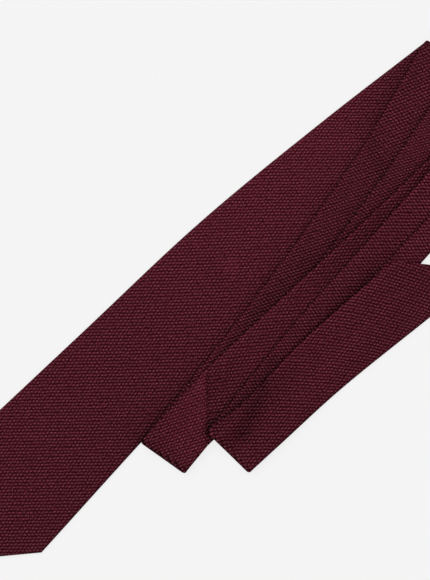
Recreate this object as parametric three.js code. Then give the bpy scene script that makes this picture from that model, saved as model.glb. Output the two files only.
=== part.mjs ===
// A grenadine silk tie, folded back and forth in five lengths that lie on one another like a fan.
// Millimetres, +Z up. Seen from above, +X is to the right and the blade's tip points down and left.
// The tie is a padded strip. Its sections are straight lines across it, and they turn so that they
// lie along each fold and along the slanted join seam. The origin is on the floor, under the middle
// of the whole tie.
import * as THREE from "three";

// Driving dimensions
const THICKNESS = 3; // cloth, interlining and cloth
const AIR = 0.6; // between one length and the next one up
const RIM = 2.2; // how far in from the edge the rolled rim reaches
const DRAPE_REACH = 16; // how far past an edge the length above it takes to come down
const TIP_WIDTH = 3; // the blunt end of each pointed tip
const JOIN_GAP = 0.3; // between the two lengths of silk at the join seam

// The back seam, where the right flap's folded edge lies on the left flap
const SEAM_DIP = 0.9; // how far the left flap dips beside it, where the back is up
const SEAM_DIP_BELOW = 0.2; // the same where the back lies on the floor
const SEAM_CREVICE = 0.4; // how much deeper the crevice between the flaps goes
const SEAM_SLOPE = 8; // width of the dip
const SEAM_LIP = 1.3; // width of the right flap's rolled edge
const SEAM_CROWN = 0.25; // how far that edge stands proud, where the back is up

// Fineness
const SPACING = 11; // between sections where the tie lies over other lengths
const BLADE_SPACING = 22; // between sections of the blade, which lies flat
const TIP_STEPS = 4;
const FOLD_STEPS = 6;
const RIM_STEPS = 3;
const FRONT_SPANS = 8;
const LEFT_FLAP_SPANS = 4;
const RIGHT_FLAP_SPANS = 3;

const BURGUNDY = 0x4a1c26;

// Where the left and right edges are at each section, seen from above, and the back seam's share of
// the way from the left one to the right one
const BLADE = [
  { at: "shoulders", leftX: -177.2, leftY: -94.8, rightX: -120.7, rightY: -150.8, seam: 0.53 },
  { at: "lower blade", leftX: -97.5, leftY: -20.0, rightX: -47.4, rightY: -70.2, seam: 0.53 },
  { at: "middle", leftX: -25.3, leftY: 47.6, rightX: 19.5, rightY: -0.4, seam: 0.53 },
  { at: "upper blade", leftX: 46.6, leftY: 106.8, rightX: 82.6, rightY: 65.3, seam: 0.53 },
  { at: "first fold", leftX: 110.6, leftY: 157.0, rightX: 142.1, rightY: 127.3, seam: 0.57 },
];
const FIRST_BACK = [
  { at: "first fold", leftX: 110.6, leftY: 157.0, rightX: 142.1, rightY: 127.3, seam: 0.57 },
  { at: "upper", leftX: 70.4, leftY: 89.9, rightX: 101.1, rightY: 69.2, seam: 0.53 },
  { at: "middle", leftX: 18.4, leftY: 16.4, rightX: 45.2, rightY: -3.1, seam: 0.53 },
  { at: "lower", leftX: -24.8, leftY: -39.5, rightX: -0.2, rightY: -59.1, seam: 0.53 },
  { at: "second fold", leftX: -60.5, leftY: -85.4, rightX: -34.8, rightY: -103.8, seam: 0.53 },
];
const BEFORE_JOIN = [
  { at: "second fold", leftX: -60.5, leftY: -85.4, rightX: -34.8, rightY: -103.8, seam: 0.53 },
  { at: "join seam", leftX: -21.3, leftY: -40.0, rightX: -21.0, rightY: -86.6, seam: 0.53 },
];
const AFTER_JOIN = [
  { at: "join seam", leftX: -21.3, leftY: -40.0, rightX: -21.0, rightY: -86.6, seam: 0.53 },
  { at: "lower", leftX: 23.0, leftY: 1.3, rightX: 45.1, rightY: -22.0, seam: 0.53 },
  { at: "upper", leftX: 79.9, leftY: 54.6, rightX: 100.9, rightY: 30.5, seam: 0.53 },
  { at: "third fold", leftX: 158.6, leftY: 130.9, rightX: 182.6, rightY: 107.5, seam: 0.60 },
];
const SECOND_BACK = [
  { at: "third fold", leftX: 158.6, leftY: 130.9, rightX: 182.6, rightY: 107.5, seam: 0.60 },
  { at: "upper", leftX: 87.5, leftY: 50.2, rightX: 112.1, rightY: 28.5, seam: 0.53 },
  { at: "lower", leftX: 27.9, leftY: -17.1, rightX: 53.3, rightY: -38.5, seam: 0.47 },
  { at: "fourth fold", leftX: -21.8, leftY: -78.4, rightX: 3.7, rightY: -103.4, seam: 0.50 },
];
const TAIL = [
  { at: "fourth fold", leftX: -21.8, leftY: -78.4, rightX: 3.7, rightY: -103.4, seam: 0.50 },
  { at: "lower", leftX: 1.2, leftY: -59.7, rightX: 24.2, rightY: -84.4, seam: 0.50 },
  { at: "middle", leftX: 34.6, leftY: -25.2, rightX: 58.0, rightY: -53.6, seam: 0.50 },
  { at: "shoulders", leftX: 90.5, leftY: 24.4, rightX: 115.6, rightY: -7.1, seam: 0.50 },
];
const BLADE_TIP = new THREE.Vector2(-182.0, -156.5);
const TAIL_TIP = new THREE.Vector2(118.4, 21.1);

const LIFT = THICKNESS + AIR; // one length's share of the pile's height
const FOLD_RADIUS = THICKNESS + AIR / 2; // outside of a fold

// A section is the two points of the tie's edges that it joins, and the back seam's place.
function sectionOf(row) {
  return {
    left: new THREE.Vector2(row.leftX, row.leftY),
    right: new THREE.Vector2(row.rightX, row.rightY),
    seam: row.seam,
  };
}

function widthOf(section) {
  return section.left.distanceTo(section.right);
}

function pointAcross(section, share) {
  return section.left.clone().lerp(section.right, share);
}

// The level direction square to a section, on the side where `towards` lies.
function squareTo(section, towards) {
  const across = section.right.clone().sub(section.left).normalize();
  const normal = new THREE.Vector2(-across.y, across.x);
  const way = pointAcross(towards, 0.5).sub(pointAcross(section, 0.5));
  return normal.dot(way) > 0 ? normal : normal.negate();
}

function moved(section, direction, distance) {
  const step = direction.clone().multiplyScalar(distance);
  return {
    left: section.left.clone().add(step),
    right: section.right.clone().add(step),
    seam: section.seam,
  };
}

// Sections through a table's rows. The first and last ones are drawn in by the given distances.
function sectionsThrough(rows, startInset, endInset, spacing) {
  const given = rows.map(sectionOf);
  const last = given.length - 1;
  const start = moved(given[0], squareTo(given[0], given[1]), startInset);
  const end = moved(given[last], squareTo(given[last], given[last - 1]), endInset);
  const stops = [start, ...given.slice(1, last), end];
  const flat = (point) => new THREE.Vector3(point.x, point.y, 0);
  const leftEdge = new THREE.CatmullRomCurve3(stops.map((stop) => flat(stop.left)));
  const rightEdge = new THREE.CatmullRomCurve3(stops.map((stop) => flat(stop.right)));
  const sections = [];
  for (let stop = 0; stop < last; stop += 1) {
    const length = pointAcross(stops[stop], 0.5).distanceTo(pointAcross(stops[stop + 1], 0.5));
    const steps = Math.ceil(length / spacing);
    for (let step = 0; step < steps; step += 1) {
      const place = (stop + step / steps) / last;
      const left = leftEdge.getPoint(place);
      const right = rightEdge.getPoint(place);
      sections.push({
        left: new THREE.Vector2(left.x, left.y),
        right: new THREE.Vector2(right.x, right.y),
        seam: THREE.MathUtils.lerp(stops[stop].seam, stops[stop + 1].seam, step / steps),
      });
    }
  }
  sections.push(end);
  return sections;
}

// Sections from a tip's blunt end up to its shoulders, which aren't among them.
function tipSections(tip, shoulders) {
  const width = widthOf(shoulders);
  const sections = [];
  for (let step = 0; step < TIP_STEPS; step += 1) {
    const share = 1 - (TIP_WIDTH / width) * (1 - step / TIP_STEPS) - step / TIP_STEPS;
    sections.push({
      left: shoulders.left.clone().lerp(tip, share),
      right: shoulders.right.clone().lerp(tip, share),
      seam: shoulders.seam,
    });
  }
  return sections;
}

const blade = sectionsThrough(BLADE, 0, FOLD_RADIUS, BLADE_SPACING);
const firstBack = sectionsThrough(FIRST_BACK, FOLD_RADIUS, FOLD_RADIUS, SPACING);
const beforeJoin = sectionsThrough(BEFORE_JOIN, FOLD_RADIUS, JOIN_GAP / 2, SPACING);
const afterJoin = sectionsThrough(AFTER_JOIN, JOIN_GAP / 2, FOLD_RADIUS, SPACING);
const secondBack = sectionsThrough(SECOND_BACK, FOLD_RADIUS, FOLD_RADIUS, SPACING);
const tail = sectionsThrough(TAIL, FOLD_RADIUS, 0, SPACING);
const bladeTip = tipSections(BLADE_TIP, blade[0]);
const tailTip = tipSections(TAIL_TIP, tail.at(-1)).reverse();

// The outline of each length as seen from above, out to its folds, from the lowest one up.
function outlineOf(...runs) {
  const sections = runs.flat();
  const lefts = sections.map((section) => section.left);
  const rights = sections.map((section) => section.right).reverse();
  return [...lefts, ...rights];
}

function foldRow(rows) {
  return [sectionOf(rows.at(-1))];
}

const OUTLINES = [
  outlineOf(bladeTip, blade, foldRow(BLADE)),
  outlineOf([sectionOf(FIRST_BACK[0])], firstBack, foldRow(FIRST_BACK)),
  outlineOf([sectionOf(BEFORE_JOIN[0])], beforeJoin, afterJoin, foldRow(AFTER_JOIN)),
  outlineOf([sectionOf(SECOND_BACK[0])], secondBack, foldRow(SECOND_BACK)),
];

function distanceToEdge(point, from, to) {
  const edge = to.clone().sub(from);
  const way = point.clone().sub(from);
  const share = THREE.MathUtils.clamp(way.dot(edge) / edge.lengthSq(), 0, 1);
  return way.sub(edge.multiplyScalar(share)).length();
}

// 1 on the outline's inside, and down to 0 in an even curve over DRAPE_REACH outside it.
function cover(outline, point) {
  let inside = false;
  let nearest = Infinity;
  outline.forEach((from, index) => {
    const to = outline[(index + 1) % outline.length];
    nearest = Math.min(nearest, distanceToEdge(point, from, to));
    const crosses = from.y > point.y !== to.y > point.y;
    if (crosses && point.x < from.x + ((to.x - from.x) * (point.y - from.y)) / (to.y - from.y)) {
      inside = !inside;
    }
  });
  if (inside) return 1;
  return 0.5 + 0.5 * Math.cos(Math.PI * Math.min(1, nearest / DRAPE_REACH));
}

// The height that a length rests at: 0 is the floor, and layer 0 the blade.
function restHeight(layer, point) {
  return OUTLINES.slice(0, layer).reduce((sum, outline) => sum + LIFT * cover(outline, point), 0);
}

// The loop round a section: pairs of the distance from the left edge and the height towards the
// cloth's front. `backUp` is 1 where the back is up and 0 where it is down.
function loopRound(section, backUp) {
  const half = THICKNESS / 2;
  const width = widthOf(section);
  const rim = Math.min(RIM, width * 0.35);
  const seam = width * section.seam;
  const slope = Math.min(SEAM_SLOPE, (seam - rim) * 0.6);
  const lip = Math.min(SEAM_LIP, (width - seam - rim) * 0.6);
  const dip = THREE.MathUtils.lerp(SEAM_DIP_BELOW, SEAM_DIP, backUp);
  const crown = SEAM_CROWN * backUp;
  const loop = [[0, 0]];
  const rimPoint = (step, side) => {
    const angle = (step / RIM_STEPS) * (Math.PI / 2);
    return [rim * (1 - Math.cos(angle)), side * half * Math.sin(angle)];
  };
  const mirrored = ([along, height]) => [width - along, height];
  const spread = (from, to, spans, side) => {
    for (let span = 1; span < spans; span += 1) {
      loop.push([THREE.MathUtils.lerp(from, to, span / spans), side * half]);
    }
  };
  for (let step = 1; step <= RIM_STEPS; step += 1) loop.push(rimPoint(step, 1));
  spread(rim, width - rim, FRONT_SPANS, 1);
  for (let step = RIM_STEPS; step > 0; step -= 1) loop.push(mirrored(rimPoint(step, 1)));
  loop.push([width, 0]);
  for (let step = 1; step <= RIM_STEPS; step += 1) loop.push(mirrored(rimPoint(step, -1)));
  spread(width - rim, seam + lip, RIGHT_FLAP_SPANS, -1);
  loop.push([seam + lip, -half - crown]);
  loop.push([seam + lip * 0.3, -half + SEAM_CREVICE * 0.5]);
  loop.push([seam, -half + dip + SEAM_CREVICE]);
  loop.push([seam - lip * 0.5, -half + dip]);
  loop.push([seam - slope * 0.5, -half + dip * 0.5]);
  loop.push([seam - slope, -half]);
  spread(seam - slope, rim, LEFT_FLAP_SPANS, -1);
  for (let step = RIM_STEPS; step > 0; step -= 1) loop.push(rimPoint(step, -1));
  return loop;
}

// A level run of sections in space, resting on what lies below.
function levelRun(sections, layer, frontUp) {
  const side = frontUp ? 1 : -1;
  return sections.map((section) => {
    return loopRound(section, frontUp ? 0 : 1).map(([along, height]) => {
      const point = pointAcross(section, along / widthOf(section));
      const middle = restHeight(layer, point) + THICKNESS / 2;
      return new THREE.Vector3(point.x, point.y, middle + side * height);
    });
  });
}

// The sections round a fold, from a length up into the next one. They turn about `section`.
function foldRun(section, before, lowerLayer, lowerFrontUp) {
  const side = lowerFrontUp ? 1 : -1;
  const outward = squareTo(section, before).negate();
  const width = widthOf(section);
  const run = [];
  for (let step = 1; step < FOLD_STEPS; step += 1) {
    const angle = Math.PI * (step / FOLD_STEPS - 0.5);
    const risen = 0.5 + 0.5 * Math.sin(angle);
    const loop = loopRound(section, lowerFrontUp ? risen : 1 - risen);
    run.push(
      loop.map(([along, height]) => {
        const axis = pointAcross(section, along / width);
        const radius = LIFT / 2 - side * height;
        const middle = restHeight(lowerLayer, axis) + THICKNESS + AIR / 2;
        const point = axis.clone().addScaledVector(outward, radius * Math.cos(angle));
        return new THREE.Vector3(point.x, point.y, middle + radius * Math.sin(angle));
      }),
    );
  }
  return run;
}

// Triangles that fill a loop, from its left edge to its right one.
function capTriangles(loop) {
  let front = 1;
  let back = loop.length - 1;
  const triangles = [[0, front, back]];
  while (back - front > 1) {
    if (loop[front + 1][0] <= loop[back - 1][0]) {
      triangles.push([front, front + 1, back]);
      front += 1;
    } else {
      triangles.push([front, back - 1, back]);
      back -= 1;
    }
  }
  return triangles;
}

// One closed body through loops of points, with a flat cap on each end.
function bodyThrough(loops, start, end, name) {
  const count = loops[0].length;
  const positions = loops.flat().flatMap((point) => point.toArray());
  const indices = [];
  for (let ring = 0; ring + 1 < loops.length; ring += 1) {
    for (let index = 0; index < count; index += 1) {
      const next = (index + 1) % count;
      const here = ring * count;
      const there = here + count;
      indices.push(here + index, there + next, there + index);
      indices.push(here + index, here + next, there + next);
    }
  }
  const cap = (section, first, flipped) => {
    for (const [a, b, c] of capTriangles(loopRound(section, 0))) {
      indices.push(first + a, first + (flipped ? c : b), first + (flipped ? b : c));
    }
  };
  cap(start, 0, true);
  cap(end, (loops.length - 1) * count, false);
  const geometry = new THREE.BufferGeometry();
  geometry.setAttribute("position", new THREE.Float32BufferAttribute(positions, 3));
  geometry.setIndex(indices);
  geometry.computeVertexNormals();
  const material = new THREE.MeshStandardMaterial({ color: BURGUNDY, roughness: 0.85, metalness: 0 });
  const mesh = new THREE.Mesh(geometry, material);
  mesh.name = name;
  return mesh;
}

function makeBladeSection() {
  const loops = [
    ...levelRun([...bladeTip, ...blade], 0, true),
    ...foldRun(blade.at(-1), blade.at(-2), 0, true),
    ...levelRun(firstBack, 1, false),
    ...foldRun(firstBack.at(-1), firstBack.at(-2), 1, false),
    ...levelRun(beforeJoin, 2, true),
  ];
  return bodyThrough(loops, bladeTip[0], beforeJoin.at(-1), "blade_section");
}

function makeTailSection() {
  const loops = [
    ...levelRun(afterJoin, 2, true),
    ...foldRun(afterJoin.at(-1), afterJoin.at(-2), 2, true),
    ...levelRun(secondBack, 3, false),
    ...foldRun(secondBack.at(-1), secondBack.at(-2), 3, false),
    ...levelRun([...tail, ...tailTip], 4, true),
  ];
  return bodyThrough(loops, afterJoin[0], tailTip.at(-1), "tail_section");
}

const tie = new THREE.Group();
tie.add(makeBladeSection(), makeTailSection());

export default tie;
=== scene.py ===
import math
from collections import namedtuple
from dataclasses import dataclass, replace
from functools import partial

import bpy
import numpy as np
from bpy.props import FloatProperty, FloatVectorProperty, PointerProperty
from bpy.types import Operator, Panel, PropertyGroup
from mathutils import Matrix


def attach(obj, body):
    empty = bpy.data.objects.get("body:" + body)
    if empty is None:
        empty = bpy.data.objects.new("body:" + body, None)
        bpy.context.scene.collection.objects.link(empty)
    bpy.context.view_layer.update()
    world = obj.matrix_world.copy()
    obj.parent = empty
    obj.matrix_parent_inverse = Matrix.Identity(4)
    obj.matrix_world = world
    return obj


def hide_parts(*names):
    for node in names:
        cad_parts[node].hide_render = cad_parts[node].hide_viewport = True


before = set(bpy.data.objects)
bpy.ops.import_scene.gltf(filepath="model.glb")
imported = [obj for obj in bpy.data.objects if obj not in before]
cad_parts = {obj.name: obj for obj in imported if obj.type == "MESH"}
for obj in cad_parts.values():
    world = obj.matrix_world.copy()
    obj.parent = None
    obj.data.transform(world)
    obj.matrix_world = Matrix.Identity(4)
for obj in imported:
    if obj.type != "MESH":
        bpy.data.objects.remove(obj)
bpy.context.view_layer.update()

bl_info = {
    "name": "Grenadine Tie",
    "version": (1, 0, 0),
    "blender": (4, 5, 0),
    "location": "View3D > Sidebar > Tie",
    "description": "A folded grenadine silk tie: two lengths of cloth, seam stitches and a stage",
    "category": "Object",
}

# The tie's construction, in millimetres in the frame of the CAD model. A section is a straight line
# across the tie, from its left edge to its right one as seen from above.
MM = 0.001
THICKNESS = 3.0  # cloth, interlining and cloth
AIR = 0.6  # between one length and the next one up
RIM = 2.2  # how far in from the edge the rolled rim reaches
DRAPE_REACH = 16.0  # how far past an edge the length above it takes to come down
TIP_WIDTH = 3.0  # the blunt end of each pointed tip
JOIN_GAP = 0.06  # between the two lengths of silk at the join seam
LIFT = THICKNESS + AIR
FOLD_RADIUS = THICKNESS + AIR / 2

# The back seam, where the right flap's folded edge lies on the left flap
SEAM_DIP = 0.9  # how far the left flap dips beside it, where the back is up
SEAM_DIP_BELOW = 0.2  # the same where the back is down
SEAM_CREVICE = 0.3  # how much deeper the crevice between the flaps goes
SEAM_SLOPE = 8.0  # width of the dip
SEAM_LIP = 1.3  # width of the right flap's rolled edge
SEAM_CROWN = 0.25  # how far that edge stands proud
LIP_ROLL = 0.55  # the most of its width that its roll takes
LIP_TURN = 1.28  # how far the roll goes round, in half circles
LIP_EDGE = 0.6  # how much it counts as an edge, for the painted light, shade and highlight on rims
CREVICE_FLOOR = (0.1, 0.6)  # shares of the edge's width and of the crevice's depth, at its floor
DIP_START = 0.4  # how far off the dip starts, as a share of the edge's width
MOST_RIM = 0.35  # the most of a section's width that a rim takes
MOST_SEAM = 0.6  # the most of a flap's width that the dip or the rolled edge takes
END_ROUND = 1.4  # how far in from a tip's end it is rounded
END_THINNEST = 0.25  # its thickness there, as a share

# Fineness
SPACING = 1.7  # between sections
OUTLINE_SPACING = 8.0
TIP_SPACING = 2.2
FOLD_STEPS = 14
FOLD_STEP = math.pi * LIFT / 2 / FOLD_STEPS
RIM_STEPS = 5
FRONT_SPANS = 58
RIGHT_FLAP_SPANS = 14
LIP_STEPS = 6
SLOPE_SPANS = 8
LEFT_FLAP_SPANS = 16
CLOSE_ENDS = (0.12, 0.35, 0.7, 1.1, 1.6)  # extra sections near an end

# Where the left and right edges are at each section, and the back seam's share of the way between
# them. Then, for the side that shows, the ways from row to row and from knot to knot of the weave,
# in degrees from +X, how far apart its rows and knots are, and how light the silk is painted at
# each
# edge: painted shade and sheen, by how its weave lies to the light and by the lengths above it.
Row = namedtuple(
    "Row",
    "at left_x left_y right_x right_y seam row_way knot_way row_pitch knot_pitch"
    " left_tone right_tone",
)


def make_rows(*rows):
    return [Row(*row) for row in rows]


BLADE = make_rows(
    ("shoulders", -177.2, -94.8, -120.7, -150.8, 0.53, 91, -2, 1.90, 2.26, 1.01, 0.86),
    ("lower blade", -97.5, -20.0, -47.4, -70.2, 0.53, 91, -2, 1.90, 2.26, 0.99, 0.88),
    ("middle", -25.3, 47.6, 19.5, -0.4, 0.53, 92, -3, 1.88, 2.26, 1.12, 0.98),
    ("upper blade", 46.6, 106.8, 82.6, 65.3, 0.53, 90, -6, 1.79, 2.20, 1.20, 0.92),
    ("first fold", 110.6, 157.0, 142.1, 127.3, 0.57, 90, -7, 1.76, 2.21, 0.96, 0.88),
)
FIRST_BACK = make_rows(
    ("first fold", 110.6, 157.0, 142.1, 127.3, 0.57, 109, 12, 1.74, 2.04, 0.95, 1.07),
    ("upper", 70.4, 89.9, 101.1, 69.2, 0.53, 110, 12, 1.74, 2.04, 0.83, 0.85),
    ("middle", 18.4, 16.4, 45.2, -3.1, 0.53, 112, 12, 1.81, 2.08, 0.80, 0.78),
    ("lower", -24.8, -39.5, -0.2, -59.1, 0.53, 115, 12, 1.84, 2.10, 0.90, 0.90),
    ("second fold", -61.4, -84.8, -34.8, -103.8, 0.53, 108, 5, 1.84, 2.20, 0.90, 0.90),
)
BEFORE_JOIN = make_rows(
    ("second fold", -61.4, -84.8, -34.8, -103.8, 0.53, 107, -1, 1.84, 2.21, 0.95, 0.93),
    ("join seam", -21.3, -40.0, -21.0, -86.6, 0.53, 107, -1, 1.84, 2.21, 1.31, 1.20),
)
AFTER_JOIN = make_rows(
    ("join seam", -21.3, -40.0, -21.0, -86.6, 0.53, 97, -2, 1.98, 2.26, 0.85, 0.80),
    ("lower", 23.0, 1.3, 45.1, -22.0, 0.53, 94, -1, 1.91, 2.26, 1.03, 0.98),
    ("upper", 79.9, 54.6, 100.9, 30.5, 0.53, 94, -1, 1.91, 2.26, 0.78, 0.78),
    ("third fold", 158.6, 130.9, 182.6, 107.5, 0.60, 94, -1, 1.91, 2.26, 0.86, 0.84),
)
SECOND_BACK = make_rows(
    ("third fold", 158.6, 130.9, 182.6, 107.5, 0.60, 90, 2, 1.94, 2.14, 1.04, 1.08),
    ("upper", 87.5, 50.2, 112.1, 28.5, 0.53, 90, 2, 1.94, 2.14, 0.96, 0.97),
    ("lower", 27.9, -17.1, 53.3, -38.5, 0.47, 94, 2, 1.91, 2.14, 0.83, 0.66),
    ("fourth fold", -21.8, -78.4, 3.7, -103.4, 0.50, 95, 0, 1.91, 2.16, 0.86, 0.84),
)
TAIL = make_rows(
    ("fourth fold", -21.8, -78.4, 3.7, -103.4, 0.50, 92, -8, 1.99, 2.19, 0.86, 0.86),
    ("lower", 1.2, -59.7, 24.2, -84.4, 0.50, 90, -8, 1.99, 2.19, 0.83, 0.88),
    ("middle", 34.6, -25.2, 58.0, -53.6, 0.50, 86, -6, 1.91, 2.24, 0.99, 0.99),
    ("shoulders", 90.5, 24.4, 115.6, -7.1, 0.50, 72, -5, 1.90, 2.07, 0.95, 0.91),
)
BLADE_TIP = (-182.0, -156.5)
TAIL_TIP = (118.4, 21.1)
FIRST_BACK_LEFT_TURN = -5  # how much further the weave turns on that length's left flap

# How clear the weave is on each length, from the lowest one up
CRISPNESS = (0.88, 0.80, 0.84, 0.86, 0.88)

# Soft relief in the upper side
SWELL = 0.14  # height of the slow rise and fall of the padding
SLOW_WAVES = ((17.0, 29.0), (-33.0, 21.0))  # lengths along X and Y of two waves that cross
QUICK_WAVES = ((7.3, -5.1), (11.9, 8.3))
QUICK_SHARE = 0.35
LAYER_PHASE = 1.7  # how much further on the waves are on each length
CROSS_PHASE = 2.3  # how many times as far the second slow wave is
JOIN_LAYER = 2
JOIN_GROOVE = 0.7  # depth of the join seam
JOIN_GROOVE_WIDTH = 0.9
ALLOWANCE_RISE = 0.22  # the seam allowance pressed open under the cloth
ALLOWANCE_WIDTH = 11.5
ALLOWANCE_EDGE = 0.8
PUCKER = 0.09  # where the slip stitches draw the back seam in
PUCKER_PITCH = 9.0
PUCKER_REACH = 4.0

# Shade where little light gets in. Under each length's left edge, from the second one up, how much
# darker the silk below is close by and further out. Round each fold, how much darker its curve is.
CREASES = ((0.28, 0.16), (0.38, 0.08), (0.38, 0.08), (0.34, 0.18))
CREASE_CLOSE = 1.2
CREASE_FAR = 4.5
FOLD_SHADES = (0.10, 0.52, 0.10, 0.20)
RIM_SHADE = 0.20  # how much lighter a rim is that faces the light, and darker one that faces away
LIGHT_HEADING = math.radians(125)  # where the key light comes from, seen from above, from +X
TAIL_CREASE_ENDS = 2  # how many outline points before the tail's shoulder its crease fades out
SEAM_SHADE = 0.62  # beside the back seam, on the left flap
SEAM_SHADE_WIDTH = 1.6

# Soft dents and swellings of each length, from the lowest one up: a line between two points, how
# far off it they reach, how high they rise, and how much lighter they are painted: a painted
# highlight where that is more than 0, painted shade where it is less
Swelling = namedtuple("Swelling", "start end reach rise lighter")
SWELLINGS = (
    (
        ((-7.0, 20.6), (-6.0, 21.6), 4.5, 0.25, 0.25),  # a soft bump on the blade
        ((-27.0, 33.5), (-26.0, 34.5), 3.5, 0.10, 0.06),  # a fainter one
        ((-30.0, 29.0), (-7.0, 5.0), 3.5, -0.15, -0.06),  # and a soft crease below them
        ((110.0, 152.0), (78.0, 108.0), 9.0, 0.0, -0.16),  # towards the first fold
        ((-61.0, -83.8), (-40.0, -60.0), 1.1, 0.0, -0.22),  # under the second fold's edge
    ),
    (
        ((75.0, 105.0), (83.5, 75.0), 4.0, -0.25, -0.20),  # a dent in its upper half
        ((-9.0, -27.0), (40.0, 28.0), 4.0, -0.10, -0.18),  # where only a sliver of it shows
        ((5.0, -11.0), (17.0, 2.0), 3.2, 0.0, -0.18),  # the sliver's darkest part
        ((112.0, 150.0), (98.0, 128.0), 8.0, 0.0, -0.15),  # by the first fold
    ),
    (
        ((-59.0, -84.0), (-34.5, -101.5), 3.2, 0.0, -0.18),  # along the second fold
        ((-59.0, -84.0), (-27.0, -46.0), 2.4, 0.0, -0.23),  # along its edge on the blade
        ((-33.0, -103.0), (-21.5, -88.0), 3.0, 0.0, -0.10),  # by the fourth fold's corner
        ((-13.6, -37.6), (-12.6, -36.6), 4.5, 0.15, 0.13),  # beside the join seam's top
        ((-21.0, -43.0), (-20.8, -86.0), 1.1, 0.0, -0.20),  # in the join seam's groove
        ((-19.5, -72.0), (-18.5, -84.0), 2.5, 0.0, -0.25),  # and by the fourth fold
        ((-5.0, -24.0), (12.0, -42.0), 9.0, 0.0, 0.06),  # past the join seam
        ((45.0, 18.0), (60.0, 32.0), 7.0, 0.0, -0.05),  # halfway to the third fold
        ((86.6, 58.9), (96.0, 66.7), 1.1, 0.25, 0.28),  # a raised pleat
    ),
    (
        ((-10.0, -69.0), (18.0, -37.0), 6.0, 0.0, -0.23),  # beside the tail's left edge
        ((56.0, -6.0), (76.0, 15.0), 5.0, 0.0, -0.08),  # on its right flap
    ),
    (
        ((-18.0, -77.0), (14.0, -47.0), 2.5, 0.0, -0.21),  # along the tail's left edge
        ((55.0, -50.5), (98.0, -13.0), 4.0, 0.0, -0.08),  # along its right edge
        ((14.0, -45.0), (0.0, -80.0), 5.0, -0.35, -0.37),  # a dent across it
    ),
)
SWELLINGS = [[Swelling(*row) for row in rows] for rows in SWELLINGS]

# The weave's own shapes, in knots along a row and rows up it
WANDER = (0.45, 0.4)  # how closely and how far its rows wander
KNOT_HALF = (0.5, 0.46)  # half a knot's width and height
KNOT_ENDS = 0.8  # how far it falls towards its ends
CLOTH_LEVEL = 0.38  # its mean height, which a less crisp weave stays closer to
# The painted highlight on each knot: half its width and height
GLINT_HALF = (0.28, 0.3)
GLINT_STRENGTH = (0.4, 0.8)  # how much it varies, and its mean
TWIST = (6.0, 9.2)  # turns of the twisted silk along a row and up it, in radians
TWIST_SHADE = 0.42
TWIST_HEIGHT = 0.15
FIBRE_SCALE = 3.2
FIBRE_SOFTNESS = (-6.0, 7.0)  # how much stronger single fibres are where it is less crisp
# How sharply the painted shade gathers in the gaps between the knots
GAP_POWER = 3.2

# The silk's looks
MEAN_KNOT = 0.6  # the height at which a place darkens as much as its painted light and shade says
SILK_ROUGHNESS = (-0.22, 0.78)  # how much less on a knot, and beside it
BLOTCH_SCALE = 22.0  # of the uneven dye
WEAR_AND_HIGHLIGHT_SCALE = 900.0  # of the wear and painted highlight along edges

# The sewing thread
PLY_SCALE = 900.0
PLY_SHADE = 0.6  # how dark it is between its plies, as a share
PLY_HEIGHT = 0.00005
THREAD_RISE = 0.12  # how far it lies above the crevice

# Where the lamps' holders stand, in metres
LAMP_REACH = 0.6
LAMP_HEIGHT = 1.5


@dataclass
class Run:
    """Sections of one stretch of the tie, in order along it: their edges, and their seam, weave and
    painted light and shade as in the tables."""

    left: np.ndarray
    right: np.ndarray
    looks: np.ndarray
    layer: int = 0
    front_up: bool = True
    left_turn: float = 0.0
    bend: np.ndarray = None
    outward: np.ndarray = None
    plump: np.ndarray = None

    @property
    def seam(self):
        return self.looks[:, 0]

    @property
    def weave(self):
        return self.looks[:, 1:5]

    @property
    def tone(self):
        return self.looks[:, 5:]

    @property
    def width(self):
        return np.linalg.norm(self.right - self.left, axis=1)

    @property
    def middle(self):
        return (self.left + self.right) / 2

    @property
    def across(self):
        return (self.right - self.left) / self.width[:, None]

    @property
    def steps(self):
        if self.bend is not None:
            return np.full(len(self.left), FOLD_STEP)
        return np.linalg.norm(np.diff(self.middle, axis=0), axis=1)


def square_to(left, right, towards):
    """The level direction square to a section, on the side where a point lies."""
    across = (right - left) / np.linalg.norm(right - left)
    normal = np.array((-across[1], across[0]))
    return normal if normal @ (towards - (left + right) / 2) > 0 else -normal


def curve_span(points, span, shares):
    """One span of the centripetal Catmull-Rom curve through the points, at shares of the span."""
    start, end = points[span], points[span + 1]
    before = points[span - 1] if span else 2 * start - end
    after = points[span + 2] if span + 2 < len(points) else 2 * end - start
    first, second, third = (
        math.sqrt(math.dist(a, b)) for a, b in ((before, start), (start, end), (end, after))
    )
    leaving = (start - before) / first - (end - before) / (first + second) + (end - start) / second
    arriving = (end - start) / second - (after - start) / (second + third) + (after - end) / third
    leaving, arriving = leaving * second, arriving * second
    t = shares[:, None]
    bend = 3 * (end - start) - 2 * leaving - arriving
    twist = 2 * (start - end) + leaving + arriving
    return start + leaving * t + bend * t**2 + twist * t**3


def straight_span(points, span, shares):
    return points[span] + (points[span + 1] - points[span]) * shares[:, None]


def run_through(rows, start_inset, end_inset, spacing=SPACING, **where):
    """Sections through a table's rows. The first and last ones are drawn in by the given insets."""
    left = np.array([(row.left_x, row.left_y) for row in rows])
    right = np.array([(row.right_x, row.right_y) for row in rows])
    looks = np.array([row[5:] for row in rows], float)
    middle = (left + right) / 2
    for end, inward, inset in ((0, 1, start_inset), (-1, -2, end_inset)):
        step = inset * square_to(left[end], right[end], middle[inward])
        left[end] += step
        right[end] += step
    middle = (left + right) / 2
    shares = []
    for here, there in zip(middle, middle[1:]):
        steps = math.ceil(math.dist(here, there) / spacing)
        shares.append(np.arange(steps) / steps)
    shares[-1] = np.append(shares[-1], 1.0)
    left, right, looks = (
        np.concatenate([between(line, span, share) for span, share in enumerate(shares)])
        for line, between in ((left, curve_span), (right, curve_span), (looks, straight_span))
    )
    degrees = math.pi / 180
    return Run(left, right, looks * (1, degrees, degrees, 1, 1, 1, 1), **where)


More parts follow.
